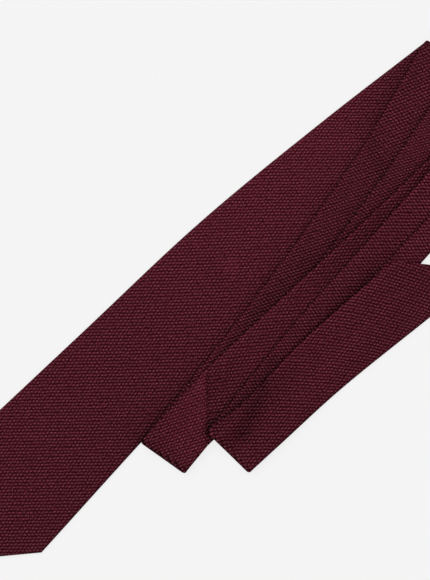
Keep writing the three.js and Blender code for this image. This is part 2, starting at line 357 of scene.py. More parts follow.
def with_sections(run, end, place, shares, left, right):
    """The run with sections put in at a place. They look like the one at that end, and lie at
    shares of the way from it to another one."""
    added = {
        "left": run.left[end] + (left - run.left[end]) * shares[:, None],
        "right": run.right[end] + (right - run.right[end]) * shares[:, None],
        "looks": np.repeat(run.looks[[end]], len(shares), 0),
    }
    joined = {name: np.insert(getattr(run, name), place, part, 0) for name, part in added.items()}
    return replace(run, **joined)


def with_tip(run, tip, at_start):
    """The run with sections that narrow from its end to a pointed tip."""
    end = 0 if at_start else -1
    length = math.dist(run.middle[end], tip)
    last = 1 - TIP_WIDTH / run.width[end]
    far = np.array([distance for distance in CLOSE_ENDS if distance < length / 2])
    even = np.arange(1, math.ceil(length / TIP_SPACING)) * TIP_SPACING / length
    shares = np.sort(np.concatenate([even[even < last - 2 / length], last - far / length, [last]]))
    shares, place = (shares[::-1], 0) if at_start else (shares, len(run.left))
    return with_sections(run, end, place, shares, tip, tip)


def with_close_sections(run, at_start):
    """The run with extra sections just inside one end, so that the end can be rounded."""
    end, inner = (0, 1) if at_start else (-1, -2)
    length = math.dist(run.middle[end], run.middle[inner])
    distances = np.array([distance for distance in CLOSE_ENDS if distance < length * 0.9])
    shares = distances / length
    shares, place = (shares, 1) if at_start else (shares[::-1], len(run.left) - 1)
    return with_sections(run, end, place, shares, run.left[inner], run.right[inner])


def rounded_end(run, at_start):
    """Thins the sections towards one end in a quarter round."""
    end = 0 if at_start else -1
    across = run.across[end]
    normal = np.array((-across[1], across[0]))
    distance = np.abs((run.middle - run.middle[end]) @ normal)
    inside = 1 - np.minimum(distance / END_ROUND, 1)
    run.plump = END_THINNEST + (1 - END_THINNEST) * np.sqrt(1 - inside**2)
    return run


def fold_between(lower, upper):
    """Sections round the fold from the end of one length up into the start of the next."""
    count = FOLD_STEPS - 1
    share = np.arange(1, FOLD_STEPS) / FOLD_STEPS
    return Run(
        np.repeat(lower.left[-1:], count, 0),
        np.repeat(lower.right[-1:], count, 0),
        lower.looks[-1] + (upper.looks[0] - lower.looks[-1]) * share[:, None],
        layer=lower.layer,
        front_up=lower.front_up,
        bend=math.pi * (share - 0.5),
        outward=-square_to(lower.left[-1], lower.right[-1], lower.middle[-2]),
    )


def edges(rows, start_inset, end_inset):
    """The left and right edges through a table's rows, at wide steps."""
    run = run_through(rows, start_inset, end_inset, OUTLINE_SPACING)
    return run.left, run.right


def row_ends(row):
    return np.array([(row.left_x, row.left_y)]), np.array([(row.right_x, row.right_y)])


def outline_of(*stretches):
    """A closed outline along the left edges and back along the right ones."""
    left = np.concatenate([left for left, right in stretches])
    right = np.concatenate([right for left, right in stretches])
    return np.concatenate([left, right[::-1]])


def make_outlines():
    """The outline of each length, out to its folds, from the lowest one up."""
    fold, join = FOLD_RADIUS, JOIN_GAP / 2
    blade_tip, tail_tip = ((np.array([tip]), np.array([tip])) for tip in (BLADE_TIP, TAIL_TIP))
    first, third = row_ends(BLADE[-1]), row_ends(AFTER_JOIN[-1])
    second, fourth = row_ends(BEFORE_JOIN[0]), row_ends(TAIL[0])
    between = (edges(BEFORE_JOIN, fold, join), edges(AFTER_JOIN, join, fold))
    return (
        outline_of(blade_tip, edges(BLADE, 0, fold), first),
        outline_of(first, edges(FIRST_BACK, fold, fold), second),
        outline_of(second, *between, third),
        outline_of(third, edges(SECOND_BACK, fold, fold), fourth),
        outline_of(fourth, edges(TAIL, fold, 0), tail_tip),
    )


def distance_to_line(points, start, end):
    """How far points are from a straight line between two points."""
    start, end = np.asarray(start, float), np.asarray(end, float)
    way = points - start
    edge = end - start
    share = np.clip(way @ edge / (edge @ edge), 0, 1)
    return np.linalg.norm(way - share[..., None] * edge, axis=-1)


def distance_outside(outline, points):
    """How far points are outside an outline, and 0 on its inside."""
    inside = np.zeros(len(points), bool)
    nearest = np.full(len(points), np.inf)
    x, y = points.T
    for start, end in zip(outline, np.roll(outline, -1, axis=0)):
        if np.allclose(start, end):
            continue
        nearest = np.minimum(nearest, distance_to_line(points, start, end))
        if start[1] != end[1]:
            crossing = start[0] + (end[0] - start[0]) * (y - start[1]) / (end[1] - start[1])
            inside ^= ((start[1] > y) != (end[1] > y)) & (x < crossing)
    return np.where(inside, 0.0, nearest)


def cover(outline, points):
    """1 on an outline's inside, and down to 0 in an even curve over DRAPE_REACH outside it."""
    share = np.minimum(1, distance_outside(outline, points) / DRAPE_REACH)
    return 0.5 + 0.5 * np.cos(np.pi * share)


def rest_height(outlines, layer, points):
    """The height that a length rests at: 0 is the floor, and layer 0 the blade."""
    flat = points.reshape(-1, 2)
    covers = (LIFT * cover(outline, flat) for outline in outlines[:layer])
    return sum(covers, np.zeros(len(flat))).reshape(points.shape[:-1])


def loop_round(run, back_up):
    """The closed line round each section. Distances from the left edge, heights towards the front,
    how far each point is round an edge, and the side that each one starts: front, right or left."""
    half = THICKNESS / 2
    width = run.width
    zero = np.zeros_like(width)
    rim = np.minimum(RIM, width * MOST_RIM)
    seam = width * run.seam
    slope = np.minimum(SEAM_SLOPE, (seam - rim) * MOST_SEAM)
    lip = np.minimum(SEAM_LIP, (width - seam - rim) * MOST_SEAM)
    dip = SEAM_DIP_BELOW + (SEAM_DIP - SEAM_DIP_BELOW) * back_up
    crown = SEAM_CROWN * back_up
    roll = (crown + dip + SEAM_CREVICE) / 2
    roll_in = np.minimum(roll, lip * LIP_ROLL)
    quarter = np.linspace(0, math.pi / 2, RIM_STEPS + 1)
    points = []

    def add(side, along, height, edge=0.0):
        points.append((side, along + zero, height + zero, edge))

    def add_rim(side, angles, up, on_right):
        for angle in angles:
            inward = rim * (1 - math.cos(angle))
            along = width - inward if on_right else inward
            add(side, along, up * half * math.sin(angle), math.cos(angle))

    add_rim("front", quarter, 1, False)
    for share in np.linspace(0, 1, FRONT_SPANS + 1)[1:-1]:
        add("front", rim + (width - 2 * rim) * share, half)
    add_rim("front", quarter[:0:-1], 1, True)
    add_rim("right", quarter, -1, True)
    for share in np.linspace(0, 1, RIGHT_FLAP_SPANS + 1)[1:]:
        along = (width - rim) + (seam + roll_in - width + rim) * share
        add("right", along, -half - crown * share**3)
    for angle in np.linspace(math.pi / 2, LIP_TURN * math.pi, LIP_STEPS + 1)[1:]:
        along = seam + roll_in + roll_in * math.cos(angle)
        height = -half - (crown - roll) - roll * math.sin(angle)
        add("right", along, height, LIP_EDGE * max(0.0, math.sin(angle)))
    add("left", seam - lip * CREVICE_FLOOR[0], -half + dip + SEAM_CREVICE * CREVICE_FLOOR[1])
    for share in np.linspace(0, 1, SLOPE_SPANS + 1):
        fall = 0.5 + 0.5 * math.cos(math.pi * share)
        start = lip * DIP_START
        add("left", seam - start - (slope - start) * share, -half + dip * fall)
    for share in np.linspace(0, 1, LEFT_FLAP_SPANS + 1)[1:-1]:
        add("left", seam - slope + (rim - seam + slope) * share, -half)
    add_rim("left", quarter[:0:-1], -1, False)
    sides, along, height, edge = zip(*points)
    return np.stack(along, 1), np.stack(height, 1), np.array(edge), np.array(sides)


def nearness(swelling, points):
    """1 on a swelling's line, and less further off."""
    away = distance_to_line(points, swelling.start, swelling.end)
    return np.exp(-((away / swelling.reach) ** 2))


def relief(points, layer):
    """How much the upper side rises or falls, over the whole length."""
    x, y = points[..., 0], points[..., 1]
    phase = LAYER_PHASE * layer

    def crossing(waves, *phases):
        one, other = (np.sin(x / a + y / b + p) for (a, b), p in zip(waves, phases))
        return one * other

    slow = crossing(SLOW_WAVES, phase, CROSS_PHASE * phase)
    rise = SWELL * (slow + QUICK_SHARE * crossing(QUICK_WAVES, phase, -phase))
    if layer == JOIN_LAYER:
        away = distance_to_line(points, *np.concatenate(row_ends(BEFORE_JOIN[-1])))
        rise -= JOIN_GROOVE * np.exp(-((away / JOIN_GROOVE_WIDTH) ** 2))
        rise += ALLOWANCE_RISE * (0.5 - 0.5 * np.tanh((away - ALLOWANCE_WIDTH) / ALLOWANCE_EDGE))
    for swelling in SWELLINGS[layer]:
        rise += swelling.rise * nearness(swelling, points)
    return rise


def left_edges():
    """The left edge of each length from the second one up, in a crease on the one below."""
    tables = (FIRST_BACK, BEFORE_JOIN[:1] + AFTER_JOIN, SECOND_BACK, TAIL)
    lines = [run_through(rows, 0, 0, OUTLINE_SPACING).left for rows in tables]
    return [*lines[:-1], lines[-1][:-TAIL_CREASE_ENDS]]


def shade(run, loops, along, edge, sides):
    """The painted light and shade on the silk, by what lies over it, its own seam, swellings, folds
    and rims.
    """
    points = loops[..., :2].reshape(-1, 2)
    layer = run.layer + (run.bend is not None)
    light = np.ones(len(points))
    for edge_line, (close, far) in list(zip(left_edges(), CREASES))[layer:]:
        spans = zip(edge_line[:-1], edge_line[1:])
        away = np.min([distance_to_line(points, start, end) for start, end in spans], axis=0)
        light *= 1 - close * np.exp(-away / CREASE_CLOSE) - far * np.exp(-away / CREASE_FAR)
    for swelling in SWELLINGS[layer]:
        light *= 1 + swelling.lighter * nearness(swelling, points)
    light = light.reshape(along.shape)
    if run.bend is not None:
        light *= 1 - FOLD_SHADES[run.layer] * np.cos(run.bend)[:, None]
    else:
        towards = run.across @ (math.cos(LIGHT_HEADING), math.sin(LIGHT_HEADING))
        side = np.where(along > run.width[:, None] / 2, 1, -1)
        light *= 1 + RIM_SHADE * edge * side * towards[:, None]
    beside = np.maximum((run.width * run.seam)[:, None] - along, 0)
    return light * np.where(sides == "left", 1 - SEAM_SHADE * np.exp(-beside / SEAM_SHADE_WIDTH), 1)


def pucker(along, distance, seam):
    """How much the slip stitches draw the cloth in beside the back seam."""
    beside = along - seam[:, None]
    wave = 0.5 + 0.5 * np.cos(2 * math.pi * distance[:, None] / PUCKER_PITCH)
    return -PUCKER * wave * np.exp(-((beside / PUCKER_REACH) ** 2))


def shaped(run, outlines):
    """The run's loops in space, how far each point is round an edge, and the side it starts."""
    up = 1 if run.front_up else -1
    back_up = np.full(len(run.left), 0.0 if run.front_up else 1.0)
    if run.bend is not None:
        risen = 0.5 + 0.5 * np.sin(run.bend)
        back_up = risen if run.front_up else 1 - risen
    along, height, edge, sides = loop_round(run, back_up)
    share = (along / run.width[:, None])[..., None]
    plan = run.left[:, None] + (run.right - run.left)[:, None] * share
    rest = rest_height(outlines, run.layer, plan)
    if run.bend is not None:
        radius = LIFT / 2 - up * height
        turn = run.bend[:, None]
        plan = plan + run.outward * (radius * np.cos(turn))[..., None]
        level = rest + THICKNESS + AIR / 2 + radius * np.sin(turn)
    else:
        if run.plump is not None:
            height = height * run.plump[:, None]
        upper = np.clip(up * height / (THICKNESS / 2), 0, 1)
        rise = relief(plan, run.layer)
        if not run.front_up:
            distance = np.concatenate([[0], np.cumsum(run.steps)])
            rise = rise + pucker(along, distance, run.width * run.seam)
        level = rest + THICKNESS / 2 + up * height + upper * rise
    return np.concatenate([plan, level[..., None]], axis=-1), edge, sides


def unrolled(runs, on_left_flap):
    """Where each section's middle is in the cloth as woven, in rows and knots, and how many of each
    are passed in a millimetre across the tie."""
    places, shares = [], []
    here = np.zeros(2)
    for run in runs:
        headings = run.weave[:, :2] + (math.radians(run.left_turn) if on_left_flap else 0.0)
        ways = np.stack([np.cos(headings), np.sin(headings)], -1) / run.weave[:, 2:, None]
        forward = np.stack([-run.across[:, 1], run.across[:, 0]], 1)
        moves = (ways * forward[:, None]).sum(-1) * FOLD_STEP
        if run.bend is None:
            level = (ways[1:] * np.diff(run.middle, axis=0)[:, None]).sum(-1)
            first = moves[:1] if places else np.zeros((1, 2))
            moves = np.concatenate([first, level if run.front_up else -level])
        places.append(here + np.cumsum(moves, axis=0))
        shares.append((ways * run.across[:, None]).sum(-1))
        here = places[-1][-1]
    return np.concatenate(places), np.concatenate(shares)


def weave_places(runs, along):
    """The cloth's own coordinates at each loop point, by the side that it is taken to be on."""
    width = np.concatenate([run.width for run in runs])[:, None]
    round_loop = {
        "front": along - width / 2,
        "left": -along - width / 2,
        "right": 1.5 * width - along,
    }
    places = {}
    for side, distance in round_loop.items():
        middles, shares = unrolled(runs, side == "left")
        rows_and_knots = middles[:, None] + shares[:, None] * distance[..., None]
        places[side] = rows_and_knots[..., ::-1]
    return places


def linked(name, data):
    """A new object with the given data, in the scene."""
    made = bpy.data.objects.new(name, data)
    bpy.context.scene.collection.objects.link(made)
    return made


def closed_strip(name, runs, outlines):
    """One closed mesh through the runs' loops. Its UV map counts the weave's knots and rows."""
    parts = [shaped(run, outlines) for run in runs]
    loops = np.concatenate([part[0] for part in parts])
    edge, sides = parts[0][1:]
    rings, count = loops.shape[:2]
    width = np.concatenate([run.width for run in runs])
    along = np.concatenate([loop_round(run, 0.0)[0] for run in runs])
    places = weave_places(runs, along)
    ids = np.arange(rings * count).reshape(rings, count)
    nexts = np.roll(ids, -1, axis=1)
    quads = np.stack([ids[:-1], nexts[:-1], nexts[1:], ids[1:]], -1).reshape(-1, 4)
    uv = np.empty((rings - 1, count, 4, 2))
    for index, side in enumerate(sides):
        place = places[side]
        after = (index + 1) % count
        for corner, (ring, point) in enumerate(((0, index), (0, after), (1, after), (1, index))):
            uv[:, index, corner] = place[ring : rings - 1 + ring, point]
    caps = [ids[0][::-1], ids[-1]]
    cap_uv = [places["front"][0][::-1], places["front"][-1]]
    mesh = bpy.data.meshes.new(name)
    faces = [*quads.tolist(), *(cap.tolist() for cap in caps)]
    mesh.from_pydata(loops.reshape(-1, 3) * MM, [], faces)
    uv = np.concatenate([uv.reshape(-1, 2), *cap_uv])
    mesh.uv_layers.new(name="Weave").data.foreach_set("uv", uv.ravel())
    # Painted light and shade at each point: the tables' painted shade and sheen, times shade()'s
    tone = np.concatenate([run.tone for run in runs])
    share = along / width[:, None]
    painted_lights = tone[:, :1] + (tone[:, 1:] - tone[:, :1]) * share
    counts = [len(run.left) for run in runs]
    ends = np.cumsum(counts)[:-1]
    parts = zip(runs, np.split(loops, ends), np.split(along, ends))
    painted_lights *= np.concatenate([shade(run, loop, way, edge, sides) for run, loop, way in parts])
    lean = np.repeat([1.0 if run.front_up else -1.0 for run in runs], counts)[:, None]
    crisp = np.repeat([CRISPNESS[run.layer] for run in runs], counts)[:, None]
    for title, values in (("Tone", painted_lights), ("Edge", edge), ("Lean", lean), ("Crispness", crisp)):
        values = np.broadcast_to(values, painted_lights.shape).ravel()
        mesh.attributes.new(title, "FLOAT", "POINT").data.foreach_set("value", values)
    smooth = np.ones(len(mesh.polygons), bool)
    smooth[-2:] = False
    mesh.polygons.foreach_set("use_smooth", smooth)
    mesh.validate()
    return linked(name, mesh)


def with_folds(*lengths):
    """Lengths of the tie, from the lowest one up, with the folds between them."""
    runs = [lengths[0]]
    for lower, upper in zip(lengths, lengths[1:]):
        runs += [fold_between(lower, upper), upper]
    return runs


def blade_runs():
    blade = run_through(BLADE, 0, FOLD_RADIUS)
    blade = rounded_end(with_tip(blade, BLADE_TIP, True), True)
    looks = {"layer": 1, "front_up": False, "left_turn": FIRST_BACK_LEFT_TURN}
    first_back = run_through(FIRST_BACK, FOLD_RADIUS, FOLD_RADIUS, **looks)
    before_join = run_through(BEFORE_JOIN, FOLD_RADIUS, JOIN_GAP / 2, layer=JOIN_LAYER)
    before_join = with_close_sections(before_join, False)
    return with_folds(blade, first_back, before_join)


def tail_runs():
    after_join = run_through(AFTER_JOIN, JOIN_GAP / 2, FOLD_RADIUS, layer=JOIN_LAYER)
    after_join = with_close_sections(after_join, True)
    second_back = run_through(SECOND_BACK, FOLD_RADIUS, FOLD_RADIUS, layer=3, front_up=False)
    tail = run_through(TAIL, FOLD_RADIUS, 0, layer=4)
    tail = rounded_end(with_tip(tail, TAIL_TIP, False), False)
    return with_folds(after_join, second_back, tail)


def plug(tree, sockets, values):
    """Links or sets sockets by name or number."""
    for key, value in values.items():
        if isinstance(value, bpy.types.NodeSocket):
            tree.links.new(value, sockets[key])
        else:
            sockets[key].default_value = value


def wire(tree, kind, inputs=None, **settings):
    """Adds a node, sets it up, and returns its outputs."""
    node = tree.nodes.new(kind)
    for name, value in settings.items():
        setattr(node, name, value)
    plug(tree, node.inputs, inputs or {})
    return node.outputs


def calc(tree, operation, *values):
    return wire(tree, "ShaderNodeMath", dict(enumerate(values)), operation=operation)[0]


def arithmetic(tree):
    """Functions that add, subtract, multiply, and multiply two values and add a third."""
    return (partial(calc, tree, kind) for kind in ("ADD", "SUBTRACT", "MULTIPLY", "MULTIPLY_ADD"))


def mixed(tree, share, one, other):
    """A colour between two others."""
    return wire(tree, "ShaderNodeMix", {0: share, 6: one, 7: other}, data_type="RGBA")[2]


def scaled(tree, colour, factor):
    return wire(tree, "ShaderNodeVectorMath", {0: colour, 3: factor}, operation="SCALE")[0]


def noise(tree, vector, scale, detail=0.0):
    inputs = {"Vector": vector, "Scale": scale, "Detail": detail}
    return wire(tree, "ShaderNodeTexNoise", inputs)["Fac"]


def new_group(name, kind, inputs, outputs):
    """A node group, the sockets that it is given, and the ones that its results go to."""
    tree = bpy.data.node_groups.new(name, kind)
    for socket, socket_kind, *default in inputs:
        socket_type = "NodeSocket" + socket_kind
        made = tree.interface.new_socket(socket, in_out="INPUT", socket_type=socket_type)
        if default:
            made.default_value = default[0]
    for socket, socket_kind in outputs:
        tree.interface.new_socket(socket, in_out="OUTPUT", socket_type="NodeSocket" + socket_kind)
    return tree, wire(tree, "NodeGroupInput"), tree.nodes.new("NodeGroupOutput").inputs


def weave_group():
    """Rows of raised silk knots, each row set half a knot along, with gaps between them darkened by
    painted shade and a painted highlight on each knot. The vector counts the knots and the rows."""
    name = "Grenadine weave"
    if name in bpy.data.node_groups:
        return bpy.data.node_groups[name]
    inputs = (
        ("Vector", "Vector"),
        ("Lean", "Float", 1.0),
        ("Slant", "Float", 0.5),
        ("Crispness", "Float", 1.0),
        ("Irregularity", "Float", 0.08),
        ("Jitter", "Float", 0.12),
        ("Fibres", "Float", 1.9),
    )
    outputs = [(result, "Float") for result in ("Knot", "Glint", "Gap shade", "Shade", "Height")]
    tree, given, made = new_group(name, "ShaderNodeTree", inputs, outputs)
    plus, minus, times, times_plus = arithmetic(tree)
    vector, crisp = given["Vector"], given["Crispness"]

    def squared(value, size):
        return calc(tree, "POWER", calc(tree, "DIVIDE", value, size), 2.0)

    # Where a point is in its knot
    drift = times(minus(noise(tree, vector, WANDER[0], 2.0), 0.5), WANDER[1])
    place = wire(tree, "ShaderNodeSeparateXYZ", {0: vector})
    row = plus(place["Y"], drift)
    row_number = calc(tree, "FLOOR", row)
    up = minus(minus(row, row_number), 0.5)
    stagger = times(calc(tree, "FLOORED_MODULO", row_number, 2.0), 0.5)
    column = plus(plus(place["X"], stagger), drift)
    column_number = calc(tree, "FLOOR", column)
    over = minus(minus(column, column_number), 0.5)
    cell = wire(tree, "ShaderNodeCombineXYZ", {0: column_number, 1: row_number})[0]
    chance = wire(tree, "ShaderNodeTexWhiteNoise", {"Vector": cell}, noise_dimensions="2D")["Color"]
    chances = wire(tree, "ShaderNodeSeparateXYZ", {0: chance})
    varied, sideways, upward = (minus(chances[axis], 0.5) for axis in "XYZ")
    over = times_plus(sideways, given["Jitter"], over)
    up = times_plus(upward, given["Jitter"], up)
    beside = times_plus(up, times(times(given["Lean"], given["Slant"]), -1.0), over)

    # How high it stands, how it shines, and how its twisted fibres shade it
    fall = plus(times(squared(beside, KNOT_HALF[0]), KNOT_ENDS), squared(up, KNOT_HALF[1]))
    dome = calc(tree, "MAXIMUM", minus(1.0, fall), 0.0)
    dome = times_plus(minus(dome, CLOTH_LEVEL), crisp, CLOTH_LEVEL)
    spot = minus(1.0, plus(squared(beside, GLINT_HALF[0]), squared(up, GLINT_HALF[1])))
    spot = times(calc(tree, "MAXIMUM", spot, 0.0), crisp)
    turns = times_plus(up, TWIST[1], times(over, TWIST[0]))
    twist = times(calc(tree, "COSINE", turns), dome)
    fibre = times(minus(noise(tree, vector, FIBRE_SCALE), 0.5), times_plus(crisp, *FIBRE_SOFTNESS))
    shade = times_plus(varied, given["Irregularity"], 1.0)
    shade = times_plus(twist, TWIST_SHADE, shade)
    depth = minus(1.0, dome)
    results = {
        "Knot": minus(1.0, calc(tree, "POWER", depth, 2.0)),
        "Glint": times(spot, times_plus(varied, *GLINT_STRENGTH)),
        "Gap shade": calc(tree, "POWER", depth, GAP_POWER),
        "Shade": times_plus(fibre, given["Fibres"], shade),
        "Height": times_plus(twist, TWIST_HEIGHT, dome),
    }
    plug(tree, made, results)
    return tree


def dye_and_painted_light_group():
    """Uneven dye, the painted light and shade of its tone, and light wear with a painted highlight:
    a little lighter where an edge is handled and catches the light, blotched elsewhere.
    """
    name = "Silk wear"
    if name in bpy.data.node_groups:
        return bpy.data.node_groups[name]
    inputs = (
        ("Vector", "Vector"),
        ("Color", "Color", (0.1, 0.02, 0.03, 1)),
        ("Tone", "Float", 1.0),
        ("Edge", "Float", 0.0),
        ("Wear", "Float", 0.1),
        ("Blotches", "Float", 0.06),
    )
    tree, given, made = new_group(name, "ShaderNodeTree", inputs, [("Color", "Color")])
    _, minus, times, times_plus = arithmetic(tree)
    blotch = minus(noise(tree, given["Vector"], BLOTCH_SCALE, 3.0), 0.5)
    wear_and_highlight = times(given["Edge"], noise(tree, given["Vector"], WEAR_AND_HIGHLIGHT_SCALE, 2.0))
    light = times_plus(blotch, given["Blotches"], given["Tone"])
    light = times_plus(wear_and_highlight, given["Wear"], light)
    plug(tree, made, {"Color": scaled(tree, given["Color"], light)})
    return tree


def new_material(name):
    material = bpy.data.materials.new(name)
    material.use_nodes = True
    tree = material.node_tree
    return material, tree, tree.nodes["Principled BSDF"].inputs


def finish(tree, shader, wear_and_highlight, bumps, looks):
    """Gives a colour its dye blotches, its painted light and shade, and wear with a painted
    highlight on edges, then gives it to the shader with its bumps and its other looks.
    """
    wear_and_highlight["Vector"] = wire(tree, "ShaderNodeTexCoord")["Object"]
    colour = wire(tree, "ShaderNodeGroup", wear_and_highlight, node_tree=dye_and_painted_light_group())["Color"]
    inputs = dict(zip(("Strength", "Distance", "Height"), bumps))
    normal = wire(tree, "ShaderNodeBump", inputs)[0]
    plug(tree, shader, {"Base Color": colour, "Normal": normal, **looks})


def silk_material(name, cloth):
    """Burgundy grenadine silk. The weave follows the piece's own UV map."""
    material, tree, shader = new_material(name)
    _, minus, _, times_plus = arithmetic(tree)
    read = {
        title: wire(tree, "ShaderNodeAttribute", attribute_name=title)["Fac"]
        for title in ("Tone", "Edge", "Lean", "Crispness")
    }
    inputs = {
        "Vector": wire(tree, "ShaderNodeUVMap", uv_map="Weave")[0],
        "Lean": read["Lean"],
        "Crispness": read["Crispness"],
        "Slant": cloth.slant,
    }
    weave = wire(tree, "ShaderNodeGroup", inputs, node_tree=weave_group())
    body = mixed(tree, weave["Knot"], (*cloth.ground_colour, 1), (*cloth.knot_colour, 1))
    body = mixed(tree, weave["Glint"], body, (*cloth.glint_colour, 1))
    body = mixed(tree, weave["Gap shade"], body, (*cloth.gap_shade_colour, 1))
    deepening = times_plus(weave["Knot"], -cloth.deepening, 1 + cloth.deepening * MEAN_KNOT)
    wear_and_highlight = {
        "Color": scaled(tree, body, weave["Shade"]),
        "Tone": times_plus(minus(read["Tone"], 1.0), deepening, 1.0),
        "Edge": read["Edge"],
    }
    looks = {
        "Roughness": times_plus(weave["Knot"], *SILK_ROUGHNESS),
        "Specular IOR Level": 0.035,
        "Sheen Weight": cloth.sheen,
        "Sheen Roughness": 0.45,
        "Sheen Tint": (0.75, 0.38, 0.45, 1),
    }
    finish(tree, shader, wear_and_highlight, (1.0, cloth.knot_height, weave["Height"]), looks)
    return material


def thread_material(name, stitches):
    """Twisted silk sewing thread, a shade darker than the cloth."""
    material, tree, shader = new_material(name)
    place = wire(tree, "ShaderNodeTexCoord")["Object"]
    inputs = {"Vector": place, "Scale": PLY_SCALE, "Distortion": 1.0}
    ply = wire(tree, "ShaderNodeTexWave", inputs, bands_direction="DIAGONAL")["Fac"]
    dark = (*(PLY_SHADE * part for part in stitches.colour), 1)
    wear_and_highlight = {"Color": mixed(tree, ply, dark, (*stitches.colour, 1))}
    looks = {"Roughness": calc(tree, "MULTIPLY_ADD", ply, -0.15, 0.7), "Specular IOR Level": 0.16}
    finish(tree, shader, wear_and_highlight, (0.6, PLY_HEIGHT, ply), looks)
    return material


def stitches_tree():
    """Geometry nodes that set a short slanted thread at even steps along a line of edges."""
    name = "Slip stitches"
    if name in bpy.data.node_groups:
        return bpy.data.node_groups[name]
    numbers = [(title, "Float") for title in ("Pitch", "Length", "Thread", "Slant")]
    inputs = (("Geometry", "Geometry"), *numbers, ("Material", "Material"))
    tree, given, made = new_group(name, "GeometryNodeTree", inputs, [("Geometry", "Geometry")])
    tree.is_modifier = True
    line = wire(tree, "GeometryNodeMeshToCurve", {"Mesh": given["Geometry"]})[0]
    steps = {"Curve": line, "Length": given["Pitch"]}
    stops = wire(tree, "GeometryNodeResampleCurve", steps, mode="LENGTH")[0]
    bead = {"Segments": 6, "Rings": 6, "Radius": 0.5}
    along = wire(tree, "GeometryNodeInputTangent")[0]
    turn = {"Axis": (0, 0, 1), "Angle": given["Slant"]}
    turns = {
        "Rotation": wire(tree, "FunctionNodeAlignRotationToVector", {"Vector": along}, axis="Z")[0],
        "Rotate By": wire(tree, "FunctionNodeAxisAngleToRotation", turn)[0],
    }
    size = {0: given["Thread"], 1: given["Thread"], 2: given["Length"]}
    threads = {
        "Points": stops,
        "Instance": wire(tree, "GeometryNodeMeshUVSphere", bead)["Mesh"],
        "Rotation": wire(tree, "FunctionNodeRotateRotation", turns, rotation_space="GLOBAL")[0],
        "Scale": wire(tree, "ShaderNodeCombineXYZ", size)[0],
    }
    placed = wire(tree, "GeometryNodeInstanceOnPoints", threads)[0]
    real = wire(tree, "GeometryNodeRealizeInstances", {"Geometry": placed})[0]
    soft = wire(tree, "GeometryNodeSetShadeSmooth", {"Geometry": real})[0]
    dress = {"Geometry": soft, "Material": given["Material"]}
    plug(tree, made, {"Geometry": wire(tree, "GeometryNodeSetMaterial", dress)[0]})
    return tree


def seam_line(run):
    """Points along the back seam of a length that lies with its back up, in metres."""
    loops, _, sides = shaped(run, make_outlines())
    crevice = int(np.argmax(sides == "left"))
    line = (loops[:, crevice] + loops[:, crevice + 1]) / 2 + (0, 0, THREAD_RISE)
    return line[2:-2] * MM


def stitched(name, runs, settings, material):
    """The slip stitches of one piece's back seam, as a plain mesh."""
    (back,) = (run for run in runs if run.bend is None and not run.front_up)
    points = seam_line(back).tolist()
    mesh = bpy.data.meshes.new(name)
    mesh.from_pydata(points, [(index, index + 1) for index in range(len(points) - 1)], [])
    piece = linked(name, mesh)
    tree = stitches_tree()
    modifier = piece.modifiers.new("Stitches", "NODES")
    modifier.node_group = tree
    titles = ("Pitch", "Length", "Thread", "Slant")
    values = {title: getattr(settings, title.lower()) for title in titles}
    values["Material"] = material
    for item in tree.interface.items_tree:
        if item.in_out == "INPUT" and item.name in values:
            modifier[item.identifier] = values[item.name]
    depsgraph = bpy.context.evaluated_depsgraph_get()
    made = bpy.data.meshes.new_from_object(piece.evaluated_get(depsgraph), depsgraph=depsgraph)
    piece.modifiers.remove(modifier)
    piece.data = made
    made.name = name
    bpy.data.meshes.remove(mesh)
    return piece


def amount(name, default, description, **more):
    """A setting that isn't less than 0."""
    return FloatProperty(name=name, description=description, default=default, min=0.0, **more)


def measure(name, default, description, least=0.0):
    """A setting that is a length in metres."""
    return FloatProperty(
        name=name,
        description=description,
        default=default,
        min=least,
        unit="LENGTH",
        subtype="DISTANCE",
        precision=5,
    )


def tint(name, default, description):
    """A setting that is a colour."""
    return FloatVectorProperty(
        name=name, description=description, default=default, min=0.0, max=1.0, subtype="COLOR"
    )


class ClothSettings(PropertyGroup):
    slant: FloatProperty(
        name="Slant",
        description="How far a knot leans over in the height of its row, in knots",
        default=0.36,
    )
    knot_height: measure("Knot height", 0.00035, "How far a knot stands above the gaps round it")
    knot_colour: tint("Knot colour", (0.1175, 0.0168, 0.0312), "The silk raised in a knot")
    glint_colour: tint("Glint colour", (0.128, 0.0340, 0.0498), "Where a knot catches the light")
    ground_colour: tint("Ground colour", (0.0655, 0.0048, 0.0115), "The silk beside the knots")
    # The gaps' colour is painted shade deep between the knots
    gap_shade_colour: tint("Gap colour", (0.019, 0.0003, 0.0018), "The silk deep between the knots")
    deepening: amount("Deepening", 1.0, "How much more shade darkens the gaps than the knots")
    sheen: amount("Sheen", 0.02, "Soft shine at a flat angle", max=1.0, subtype="FACTOR")


class StitchSettings(PropertyGroup):
    pitch: measure("Pitch", 0.009, "Distance from one slip stitch to the next", 0.002)
    length: measure("Stitch length", 0.0022, "Length of the thread that shows", 0.0005)
    thread: measure("Thread width", 0.00032, "Thickness of the sewing thread", 0.0001)
    slant: FloatProperty(
        name="Slant",
        description="How far each stitch turns from the line of the seam",
        default=math.radians(28),
        unit="ROTATION",
        subtype="ANGLE",
    )
    colour: tint("Thread colour", (0.050, 0.006, 0.011), "Colour of the sewing thread")


class StageSettings(PropertyGroup):
    floor_colour: tint("Floor colour", (0.12, 0.12, 0.12), "Colour of the floor in the light")
    floor_glow: amount("Floor glow", 0.79, "How bright the floor looks, as on a light table")
    floor_bounce: amount("Floor bounce", 0.15, "How much of that light it throws on the tie")
    backdrop: amount("Backdrop", 0.896, "Brightness of what is seen past the floor")
    surround: amount("Surround", 0.35, "Strength of the light that comes from all round")
    key: amount("Key light", 0.8, "Strength of the wide light from above the upper left")
    overhead: amount("Overhead light", 1.3, "Strength of the wide light from straight above")
    camera_height: measure("Camera height", 4.0, "The camera looks straight down", 0.5)


